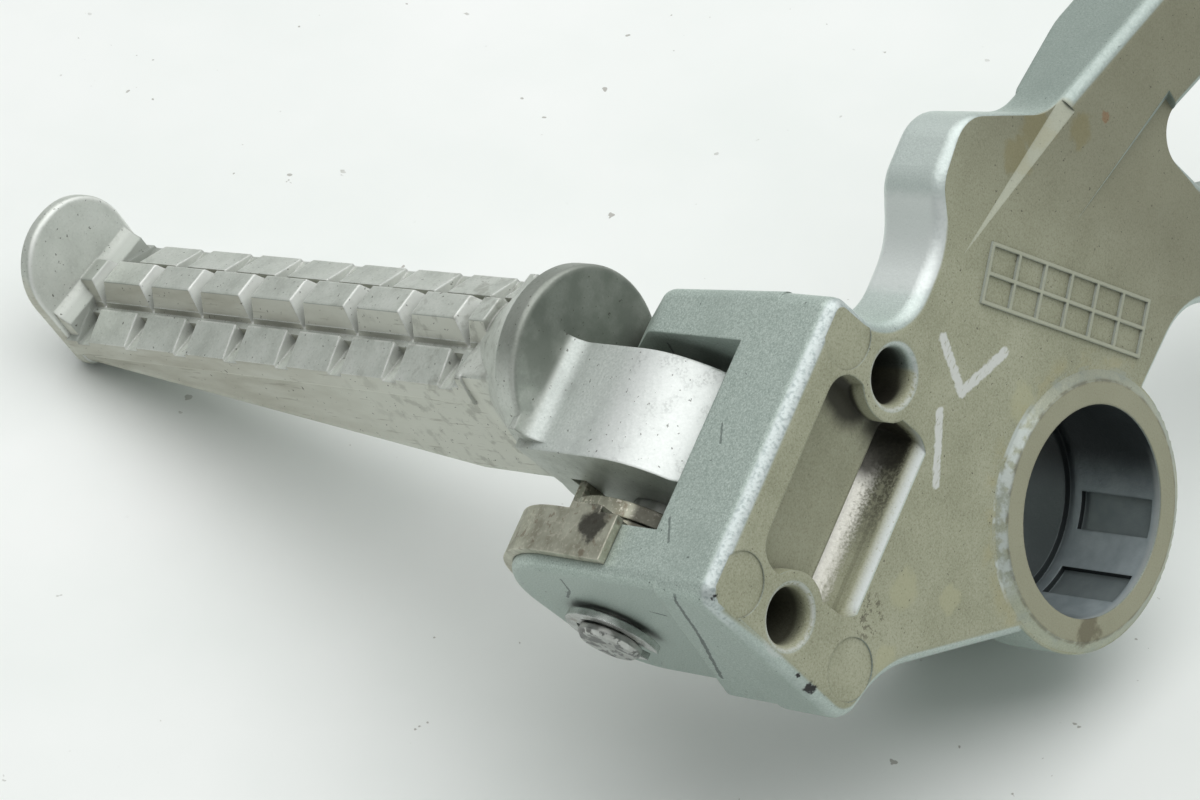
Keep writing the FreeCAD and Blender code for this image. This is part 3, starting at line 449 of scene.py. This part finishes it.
def bracket_finish():
    """Silver paint outside, bare khaki metal on the back, worn bright along the edges with a painted
    highlight, and painted light and shade in places.
    """
    coat = Finish("bracket_paint")
    coat.soften(CAST_EDGE)
    across = coat.axis("X")
    depth = coat.axis("Y")
    rise = coat.axis("Z")
    backwards = coat.facing((0, -1, 0))
    bore_distance = coat.from_axis(0, 0)
    bearing = coat.bearing()

    in_bore = coat.both(coat.fade(bore_distance, 14.5, 14.3), coat.fade(depth, 0.15, 0.4))
    back_face = coat.both(coat.fade(backwards, 0.90, 0.97), coat.fade(depth, 3.0, 2.5))
    pocket = coat.both(
        coat.between(across, RECESS_REAR_X, RECESS_FRONT_X, 0.3),
        coat.between(rise, RECESS_LOW_Z, RECESS_HIGH_Z, 0.3),
        coat.between(depth, BACK_FACE_Y + 0.1, RECESS_DEEP_Y, 0.1),
    )
    arm_step = coat.both(
        coat.stroke((14.0, 0, 37.4), (36.8, 0, 31.2), 6.0, 0.0, (1, 0, 1)),
        coat.fade(backwards, 0.2, 0.4),
    )
    bare = coat.both(coat.either(back_face, pocket, arm_step), coat.other(in_bore))
    # Rounded back edges: worn paint with a painted highlight, stronger along the top edge.
    edge = coat.both(
        coat.fade(backwards, 0.15, 0.5),
        coat.fade(depth, 3.6, 2.8),
        coat.other(bare),
        coat.other(in_bore),
    )

    silver = silver_paint(coat)
    khaki = bare_back(coat)
    wear = coat.grain(1.6, 5.0)
    speckle = coat.grain(0.4, 4.0)
    rubbed_and_highlight = coat.cover(tint(206, 214, 213), coat.fade(speckle, 0.42, 0.72), tint(158, 170, 170))
    top_edge_highlight = coat.level(0.25, coat.fade(rise, 45.0, 50.0), 0.85)
    colour = coat.cover(silver, coat.both(edge, top_edge_highlight), rubbed_and_highlight)
    colour = coat.cover(colour, bare, khaki)

    # Painted highlight on the step between the arm and the plate.
    step_highlight = coat.both(arm_step, coat.other(back_face))
    colour = coat.cover(colour, coat.both(step_highlight, 0.35), tint(206, 213, 200))
    # Painted highlight on the raised ribs of the date field.
    date_rib_highlight = coat.both(
        coat.fade(depth, BACK_FACE_Y - 0.02, BACK_FACE_Y - 0.1),
        coat.between(across, 10.0, 29.0, 0.5),
        coat.fade(bore_distance, 18.6, 19.0),
    )
    colour = coat.cover(colour, coat.both(date_rib_highlight, 0.6), tint(192, 196, 178))

    shelf = coat.both(pocket, coat.between(depth, SHELF_Y - 0.3, SHELF_Y + 0.3, 0.1))
    colour = coat.cover(colour, coat.both(shelf, 0.35), tint(122, 122, 102))
    trough = coat.both(pocket, coat.fade(depth, SHELF_Y + 0.2, SHELF_Y + 0.8))
    # Worn band in the trough, painted bright where it faces the light: partly a painted highlight.
    highlight_facing = coat.maths("ADD", coat.facing((0, -0.80, 0.60)), coat.waver(0.3, 0.30))
    polished_and_highlight = coat.both(trough, coat.fade(highlight_facing, 0.84, 0.98), coat.fade(across, -6.5, -12.0))
    colour = coat.cover(colour, polished_and_highlight, tint(216, 215, 206))
    grit = coat.level(0.45, coat.fade(speckle, 0.40, 0.58), 1.0)
    gritty = coat.both(
        pocket,
        coat.fade(rise, 36.0, 34.4),
        coat.fade(depth, 1.6, 2.6),
        coat.fade(across, -26.0, -13.0),
        coat.other(polished_and_highlight),
        grit,
    )
    colour = coat.cover(colour, coat.both(gritty, 0.85), tint(70, 68, 57))
    # Worn rim of the pocket with a painted highlight along it.
    worn_rim_highlight = coat.both(
        pocket,
        coat.fade(depth, BACK_FACE_Y + 1.4, BACK_FACE_Y + 0.2),
        coat.between(across, -29.5, -7.0, 1.2),
        coat.fade(rise, 34.5, 33.0),
        coat.fade(speckle, 0.22, 0.42),
    )
    colour = coat.cover(colour, coat.both(worn_rim_highlight, 0.95), tint(224, 230, 229))
    hole_lips = coat.both(
        coat.either(
            coat.between(coat.from_axis(*REAR_HOLE), 3.7, 4.9, 0.2),
            coat.between(coat.from_axis(*FRONT_HOLE), 3.7, 4.9, 0.2),
        ),
        coat.between(depth, BACK_FACE_Y + 0.1, 2.2, 0.1),
        coat.fade(speckle, 0.36, 0.5),
    )
    colour = coat.cover(colour, coat.both(hole_lips, 0.7), tint(208, 213, 210))

    # Painted shade inside the holes.
    hole_shade = coat.both(
        coat.either(
            coat.fade(coat.from_axis(*REAR_HOLE), 3.9, 3.5),
            coat.fade(coat.from_axis(*FRONT_HOLE), 3.9, 3.5),
        ),
        coat.fade(depth, 1.4, 3.6),
        coat.fade(depth, HOLE_END_Y + 1.0, HOLE_END_Y + 0.5),
    )
    colour = coat.cover(colour, coat.both(hole_shade, 0.8), tint(46, 44, 36))

    ring_face = coat.both(coat.fade(depth, 0.2, 0.1), coat.fade(bore_distance, 16.6, 16.3))
    colour = coat.cover(colour, coat.both(ring_face, 0.6), tint(158, 156, 134))
    ring_slope = coat.both(
        coat.between(bore_distance, RING_RADIUS - 0.1, RING_FOOT_RADIUS, 0.15),
        coat.between(depth, 0.05, 1.2, 0.1),
    )
    dirt_line = coat.both(
        coat.between(bore_distance, RING_RADIUS - 0.1, RING_RADIUS + 0.25, 0.25),
        coat.fade(depth, 1.0, 0.4),
        coat.fade(coat.grain(2.2, 4.0), 0.40, 0.62),
    )
    colour = coat.cover(colour, coat.both(ring_slope, 0.75), khaki)
    slope_grey = coat.both(ring_slope, coat.fade(coat.grain(4.0, 4.0), 0.48, 0.60))
    colour = coat.cover(colour, coat.both(slope_grey, 0.5), tint(160, 168, 160))
    # Worn arc on the ring's slope, with a painted highlight on its upper side.
    worn_arc_highlight = coat.both(
        ring_slope,
        coat.between(bearing, -62.0, 16.0, 8.0),
        coat.fade(wear, 0.40, 0.56),
    )
    colour = coat.cover(colour, coat.both(worn_arc_highlight, 0.9), tint(206, 214, 210))
    colour = coat.cover(colour, coat.both(dirt_line, 0.55), tint(92, 84, 66))
    ring_stain = coat.both(coat.near((-12.4, 0.2, -7.4), 2.6, 4.0), coat.fade(depth, 1.4, 0.9))
    colour = coat.cover(colour, coat.both(ring_stain, 0.6), tint(88, 78, 54))

    bore_tone = coat.colours(
        coat.grain(3.0, 4.0),
        (0.35, tint(166, 179, 183)),
        (0.65, tint(188, 200, 203)),
    )
    # Painted shade in the flutes and deeper in, dark on the wall turned from the light, and a painted
    # glint at the mouth.
    flute_shade = coat.both(
        coat.fade(bore_distance, BORE_RADIUS + 0.1, BORE_RADIUS + FLUTE_DEPTH * 0.5),
        coat.fade(depth, FLUTE_END_Y + 0.4, FLUTE_END_Y),
    )
    bore_tone = coat.cover(bore_tone, coat.both(flute_shade, 0.55), tint(104, 114, 112))
    bore_tone = coat.cover(bore_tone, coat.fade(depth, 13.8, 14.8), tint(112, 121, 122))
    lit_wall = coat.facing((0.17, 0, 0.98))
    shaded_wall = coat.fade(lit_wall, 0.91, 0.34)
    bore_tone = coat.cover(bore_tone, coat.both(shaded_wall, 0.93), tint(30, 34, 35))
    mouth_glint = coat.both(coat.fade(depth, 1.3, 0.5), coat.fade(lit_wall, 0.2, 0.7))
    bore_tone = coat.cover(bore_tone, coat.both(mouth_glint, 0.6), tint(214, 220, 217))
    colour = coat.cover(colour, in_bore, bore_tone)

    marks = coat.either(
        coat.stroke((4.4, BACK_FACE_Y, 35.4), (0.7, BACK_FACE_Y, 28.9), 1.5, 0.6),
        coat.stroke((0.7, BACK_FACE_Y, 28.9), (8.5, BACK_FACE_Y, 24.7), 1.5, 0.6),
        coat.stroke((-3.1, BACK_FACE_Y, 31.0), (-10.5, BACK_FACE_Y, 26.8), 1.4, 0.6),
    )
    brushed = coat.fade(coat.grain(0.5, 3.0, (0.4, 1.0, 1.6)), 0.24, 0.46)
    marks = coat.both(marks, back_face, brushed)
    colour = coat.cover(colour, coat.both(marks, 0.85), tint(226, 229, 226))

    # Painted shade, with some dirt, where nearby walls shut the light out.
    hollow = coat.hollows(3.0)
    colour = coat.cover(colour, coat.both(hollow, coat.other(in_bore), 0.45), tint(58, 54, 44))
    # Dirt and painted shade in the pocket's corners.
    corner_dirt_and_shade = coat.both(
        pocket,
        coat.either(
            coat.near((-6.4, 4.4, 43.6), 6.6, 3.0),
            coat.near((-7.6, 5.2, 34.4), 7.0, 4.0),
        ),
        coat.fade(depth, 2.2, 3.0),
    )
    colour = coat.cover(colour, coat.both(corner_dirt_and_shade, 0.92), tint(40, 38, 30))
    chips = coat.either(
        coat.stroke((-41.9, 1.2, 42.4), (-40.9, 1.0, 39.4), 1.0, 2.0),
        coat.near((-40.1, 1.0, 32.4), 1.0, 1.5),
        coat.near((-39.8, BACK_FACE_Y, 35.2), 0.5, 0.7),
        coat.near((-38.2, 1.4, 52.3), 0.6, 1.0),
    )
    colour = coat.cover(colour, chips, tint(24, 24, 24))

    roughness = coat.level(coat.level(0.44, edge, 0.46), bare, 0.62)
    roughness = coat.level(roughness, polished_and_highlight, 0.36)
    metallic = coat.level(coat.level(0.45, edge, 0.55), bare, 0.15)
    metallic = coat.level(metallic, polished_and_highlight, 0.7)
    metallic = coat.level(metallic, coat.either(marks, chips), 0.0)
    coat.roughen(speckle, 0.06, 0.7)
    return coat.finish(colour, roughness, metallic)


def peg_finish():
    """Bare cast aluminium, bright on the tongue, dirty along the sides; dirt and painted shade in the
    grooves, painted light and shade on tread, tip, tongue and flange.
    """
    cast = Finish("peg_casting")
    cast.soften(CAST_EDGE)
    along = cast.axis("Y")
    rise = cast.axis("Z")
    mottle = cast.grain(4.0, 4.0)
    fine = cast.grain(0.35, 3.0)
    metal = cast.colours(
        mottle,
        (0.30, tint(188, 193, 185)),
        (0.50, tint(202, 207, 199)),
        (0.70, tint(212, 216, 209)),
    )
    metal = cast.cover(metal, cast.both(cast.fade(fine, 0.52, 0.75), 0.4), tint(224, 227, 222))
    metal = cast.cover(metal, cast.both(cast.fade(fine, 0.46, 0.26), 0.35), tint(156, 159, 151))

    tread = cast.between(along, TREAD_START_Y, TIP_Y - 0.4, 0.4)
    # Painted shade on the ridge sides that face away from the light.
    ridge_side_shade = cast.both(tread, cast.fade(cast.facing((-0.93, 0, 0.37), False), 0.90, 0.97))
    metal = cast.cover(metal, cast.both(ridge_side_shade, 0.85), tint(122, 126, 120))
    # Painted light on the groove faces turned to the near side.
    groove_face_light = cast.both(tread, cast.fade(cast.facing((0, -0.94, 0.34), False), 0.80, 0.93))
    metal = cast.cover(metal, cast.both(groove_face_light, 0.7), tint(238, 240, 236))
    rubbed_edge = cast.both(cast.edges(), tread, cast.fade(mottle, 0.30, 0.55))
    metal = cast.cover(metal, cast.both(rubbed_edge, 0.8), tint(240, 242, 238))
    # Painted light on the tip's end face, which is also less metallic.
    lit_tip_face = cast.both(
        cast.fade(along, TIP_Y - 0.2, TIP_Y + 0.4),
        cast.fade(cast.facing((0, -1, 0)), 0.4, 0.9),
    )
    metal = cast.cover(metal, cast.both(lit_tip_face, 0.9), tint(250, 252, 248))
    ramp = cast.between(along, TIP_Y - 2.6, TIP_Y - 0.4, 0.5)
    metal = cast.cover(metal, cast.both(ramp, 0.8), tint(172, 177, 170))

    sideways = cast.fade(cast.facing((-1, 0, -0.1), False), 0.72, 0.92)
    side_wall = cast.both(sideways, cast.fade(along, 43.0, 50.0))
    smear = cast.grain(2.4, 5.0, (1.0, 0.25, 1.0))
    film = cast.colours(
        smear,
        (0.30, tint(184, 182, 167)),
        (0.55, tint(204, 204, 191)),
        (0.75, tint(216, 217, 206)),
    )
    # Painted light: the film gets lighter towards the flange.
    film = cast.cover(film, cast.both(cast.fade(along, 100.0, 60.0), 0.8), tint(230, 232, 221))
    metal = cast.cover(metal, cast.both(side_wall, 0.85), film)
    grime = cast.both(
        cast.fade(along, 84.0, 56.0),
        cast.fade(cast.grain(2.2, 6.0), 0.52, 0.66),
        cast.fade(along, TREAD_START_Y - 8.0, TREAD_START_Y - 4.0),
    )
    metal = cast.cover(metal, cast.both(grime, 0.36), tint(126, 126, 114))
    hairlines = cast.fade(cast.grain(0.5, 3.0, (1.0, 0.08, 1.0)), 0.62, 0.7)
    metal = cast.cover(metal, cast.both(side_wall, hairlines, 0.4), tint(140, 136, 121))

    off_end = cast.fade(cast.maths("ABSOLUTE", cast.facing((1, 0, 0))), 0.6, 0.3)
    tongue = cast.both(
        cast.fade(along, FLANGE_Y, FLANGE_Y - 1.0),
        cast.fade(rise, PIN_Z + 2.0, PIN_Z + 5.0),
        off_end,
    )
    satin_and_light = cast.colours(fine, (0.3, tint(198, 205, 200)), (0.7, tint(226, 231, 227)))
    # Painted shade towards the flange and a painted highlight towards the tongue's end.
    satin_and_light = cast.cover(satin_and_light, cast.both(cast.fade(along, 32.0, 38.0), 0.35), tint(172, 179, 175))
    satin_and_light = cast.cover(satin_and_light, cast.both(cast.fade(along, 31.0, 27.0), 0.6), tint(246, 249, 247))
    rub_marks = cast.both(cast.fade(mottle, 0.52, 0.64), cast.fade(fine, 0.42, 0.6))
    satin_and_light = cast.cover(satin_and_light, cast.both(rub_marks, 0.35), tint(150, 156, 152))
    metal = cast.cover(metal, tongue, satin_and_light)

    flange_face = cast.both(
        cast.fade(cast.facing((0, -1, 0)), 0.7, 0.95),
        cast.between(along, FLANGE_Y - 0.5, FLANGE_Y + 1.1, 0.3),
    )
    # Mottled dirt with painted shade on the flange's face, which lies in the shadow of the bracket.
    flange_dirt_and_shade = cast.both(flange_face, cast.fade(mottle, 0.30, 0.60))
    metal = cast.cover(metal, cast.both(flange_dirt_and_shade, 0.7), tint(128, 135, 127))
    # Painted shade on the flange next to the fork.
    flange_far_shade = cast.both(
        cast.between(along, FLANGE_Y - 0.5, FLANGE_Y + 3.2, 0.3),
        cast.fade(cast.axis("X"), -20.0, -13.0),
    )
    metal = cast.cover(metal, cast.both(flange_far_shade, 0.62), tint(95, 101, 91))
    pits = cast.spots(0.6, 0.695, 0.03)
    metal = cast.cover(metal, cast.both(pits, 0.7), tint(70, 68, 60))
    # Painted shade, with some dirt, in the hollows.
    hollow = cast.hollows(2.0)
    metal = cast.cover(metal, cast.both(hollow, 0.4), tint(70, 67, 58))

    roughness = cast.level(cast.level(0.46, cast.either(side_wall, ramp), 0.6), tongue, 0.48)
    metallic = cast.level(cast.level(0.5, side_wall, 0.3), tongue, 0.55)
    metallic = cast.level(metallic, lit_tip_face, 0.2)
    cast.roughen(cast.grain(0.6, 4.0), 0.06, 0.5)
    return cast.finish(metal, roughness, metallic)


def spring_finish():
    """Strip steel gone brown and dull, scuffed, with a rub mark on the tab and painted shade on the
    inner end.
    """
    strip = Finish("spring_strip")
    tone = strip.grain(2.6, 5.0)
    steel = strip.colours(
        tone,
        (0.35, tint(156, 154, 137)),
        (0.52, tint(178, 178, 161)),
        (0.68, tint(194, 195, 178)),
    )
    coil = strip.fade(strip.axis("X"), -31.0, -30.2)
    strip.soften(STRIP_EDGE)
    scuffs = strip.both(strip.spots(0.45, 0.54, 0.12), strip.level(0.35, coil, 0.9))
    scuffs = strip.either(scuffs, strip.both(strip.edges(), strip.fade(tone, 0.40, 0.55), 0.8))
    steel = strip.cover(steel, scuffs, tint(222, 218, 203))
    rust = strip.fade(strip.grain(1.2, 4.0), 0.58, 0.68)
    steel = strip.cover(steel, strip.both(rust, 0.45), tint(104, 76, 50))
    rub = strip.near((-33.0, 21.2, 55.2), 2.4, 3.0)
    steel = strip.cover(steel, strip.both(rub, 0.85), tint(50, 48, 44))
    # Painted shade on the coil's inner end.
    shaded_root = strip.both(coil, strip.fade(strip.axis("Y"), 24.2, 23.0))
    steel = strip.cover(steel, strip.both(shaded_root, 0.85), tint(42, 40, 34))
    strip.roughen(strip.grain(0.4, 3.0), 0.04, 0.4)
    return strip.finish(steel, 0.42, 0.7)


def ring_finish():
    """Stamped spring-steel ring, bright on its rim, with grime and painted shade in its bends."""
    stamped = Finish("ring_stamped")
    tone = stamped.grain(2.4, 3.0)
    steel = stamped.colours(tone, (0.35, tint(168, 171, 167)), (0.6, tint(212, 214, 211)))
    rust = stamped.fade(stamped.grain(1.6, 4.0), 0.58, 0.68)
    steel = stamped.cover(steel, stamped.both(rust, 0.45), tint(112, 88, 62))
    # Grime and painted shade in the ring's bends.
    grime = stamped.hollows(1.2)
    steel = stamped.cover(steel, stamped.both(grime, 0.6), tint(46, 40, 32))
    stamped.soften(TURNED_EDGE)
    return stamped.finish(steel, 0.26, 0.95)


def pin_finish():
    """Turned steel with dark blotches at its end, and grime and painted shade in its hollows."""
    turned = Finish("pin_turned")
    tone = turned.grain(2.6, 4.0)
    steel = turned.colours(tone, (0.35, tint(166, 167, 162)), (0.6, tint(196, 198, 194)))
    blotch = turned.fade(turned.grain(1.7, 4.0), 0.50, 0.57)
    dark_end = turned.both(turned.fade(turned.axis("X"), PIN_END_X + 0.8, PIN_END_X + 0.3), blotch)
    steel = turned.cover(steel, turned.both(dark_end, 0.75), tint(44, 44, 42))
    # Grime and painted shade in the hollows.
    grime = turned.hollows(1.2)
    steel = turned.cover(steel, turned.both(grime, 0.6), tint(44, 38, 30))
    turned.soften(TURNED_EDGE)
    turned.roughen(turned.grain(0.9, 3.0), 0.04, 0.3)
    return turned.finish(steel, 0.28, 0.9)


def table_finish():
    """Pale table top with painted shade towards its near side; it can't be seen from below."""
    top = Finish("table_top")
    haze = top.grain(60.0, 4.0)
    pale = top.colours(haze, (0.35, tint(234, 238, 235)), (0.65, tint(242, 244, 242)))
    coordinates = top.add("ShaderNodeTexCoord")
    # Painted shade towards the table's near side.
    reach = top.vector_maths("DOT_PRODUCT", coordinates.outputs["Object"], TABLE_DIM_TOWARDS)
    dimmer = top.fade(reach.outputs["Value"], TABLE_DIM_START, TABLE_DIM_END)
    pale = top.cover(pale, top.both(dimmer, 0.5), tint(222, 227, 223))
    crumbs = top.both(top.spots(2.2, 0.72, 0.02), top.fade(top.grain(25.0, 2.0), 0.5, 0.6))
    pale = top.cover(pale, top.both(crumbs, 0.6), tint(120, 112, 98))
    top.finish(pale, 0.6, 0.0)
    geometry = top.add("ShaderNodeNewGeometry")
    clear = top.add("ShaderNodeBsdfTransparent")
    choose = top.add("ShaderNodeMixShader")
    output = top.tree.nodes["Material Output"]
    top.feed(geometry.outputs["Backfacing"], choose.inputs[0])
    top.feed(top.surface.outputs[0], choose.inputs[1])
    top.feed(clear.outputs[0], choose.inputs[2])
    top.feed(choose.outputs[0], output.inputs["Surface"])
    return top.material


def dress(node, material):
    """Gives a CAD node its finish."""
    slots = frame["nodes"][node].data.materials
    slots.clear()
    slots.append(material)


def scene_place(x, y, z):
    """Point of the pin's frame, in millimetres, as a place in the scene."""
    point = Vector((x, y, z)) / MILLIMETRES
    point.rotate(Euler((0, -PIN_LEAN, 0)))
    return point


def wind_spring():
    """Puts a copy of the spring in its place, loose from the peg's body, and hides the model's spring;
    its turns don't wind as the peg folds.
    """
    node = frame["nodes"]["return_spring"]
    bpy.ops.object.select_all(action="DESELECT")
    node.select_set(True)
    bpy.context.view_layer.objects.active = node
    bpy.ops.object.duplicate()
    spring = bpy.context.object
    bpy.ops.object.parent_clear(type="CLEAR_KEEP_TRANSFORM")
    for mark in list(spring.keys()):
        del spring[mark]
    spring.name = "wound_spring"
    rear = scene_place(SPRING_REAR_X, PIN_Y, PIN_Z)
    front = scene_place(SPRING_FRONT_X, PIN_Y, PIN_Z)
    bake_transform(spring)
    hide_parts("return_spring")


def lowest_point():
    """The CAD point that lies furthest down towards the table."""
    lowest = None
    for node in frame["nodes"].values():
        for vertex in node.data.vertices:
            point = node.matrix_world @ vertex.co
            if lowest is None or point.dot(TABLE_NORMAL) < lowest.dot(TABLE_NORMAL):
                lowest = point
    return lowest


def lay_table():
    """Puts the table under the part's lowest point."""
    bpy.ops.object.select_all(action="DESELECT")
    bpy.ops.mesh.primitive_plane_add(size=TABLE_SIZE, location=lowest_point())
    table = bpy.context.object
    table.name = "table_top"
    table.rotation_euler = TABLE_NORMAL.to_track_quat("Z", "Y").to_euler()
    bpy.ops.object.transform_apply(location=True, rotation=True, scale=True)
    table.data.materials.append(table_finish())


def add_lamp(name, towards, distance, width, power):
    """Soft square lamp, placed in a direction from the part and aimed at it."""
    target = (cad_low + cad_high) / 2
    place = target + Vector(towards).normalized() * distance
    lamp = bpy.data.lights.new(name, "AREA")
    lamp.size = width
    lamp.energy = power
    holder = bpy.data.objects.new(name, lamp)
    holder.location = place
    holder.rotation_euler = (target - place).to_track_quat("-Z", "Y").to_euler()
    scene.collection.objects.link(holder)


def light_room():
    """Diffuse daylight from above, with a little from the near side."""
    world = bpy.data.worlds.new("room")
    scene.world = world
    world.use_nodes = True
    sky = world.node_tree.nodes["Background"]
    sky.inputs["Color"].default_value = SKY_COLOUR
    sky.inputs["Strength"].default_value = SKY_STRENGTH
    add_lamp("ceiling_window", *CEILING_WINDOW)
    add_lamp("near_wall", *NEAR_WALL)


def set_camera():
    """Looks from where the photograph was taken."""
    lens = bpy.data.cameras.new("photo_camera")
    lens.lens = CAMERA_LENS
    lens.sensor_width = CAMERA_SENSOR
    holder = bpy.data.objects.new("photo_camera", lens)
    holder.location = CAMERA_PLACE
    holder.rotation_euler = [math.radians(turn) for turn in CAMERA_TURN]
    scene.collection.objects.link(holder)
    scene.camera = holder


dress("bracket", bracket_finish())
dress("footpeg", peg_finish())
dress("return_spring", spring_finish())
dress("retaining_ring", ring_finish())
dress("pivot_pin", pin_finish())
wind_spring()
lay_table()
light_room()
set_camera()
